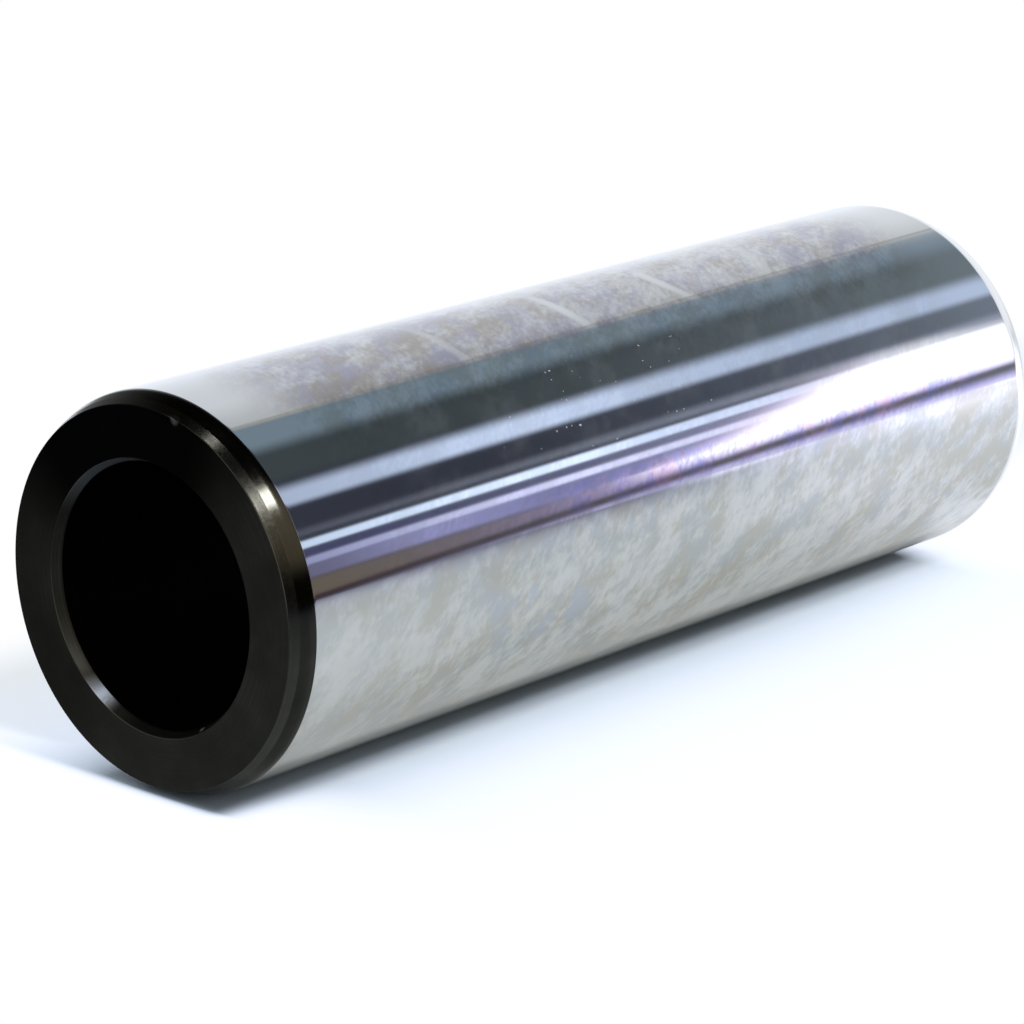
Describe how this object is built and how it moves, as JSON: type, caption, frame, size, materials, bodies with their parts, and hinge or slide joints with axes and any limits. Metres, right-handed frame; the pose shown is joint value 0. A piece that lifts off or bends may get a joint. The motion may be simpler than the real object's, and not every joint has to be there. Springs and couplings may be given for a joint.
{
  "type": "gudgeon pin",
  "caption": "Hollow polished steel gudgeon pin with a plain through bore, chamfered inside and out at both ends.",
  "frame": {"origin": "centre of the lower end face, which the pin stands on", "axes": "+Z along the pin's axis, from the lower end face to the upper one; the pin is round, so X and Y are free"},
  "size_m": [0.0236, 0.0236, 0.0698],
  "materials": {
    "pin_steel": "hardened steel, ground and polished on the outside diameter, dark satin on the end faces, chamfers and bore"
  },
  "bodies": {
    "root": {"gudgeon_pin": "pin_steel"}
  },
  "joints": []
}
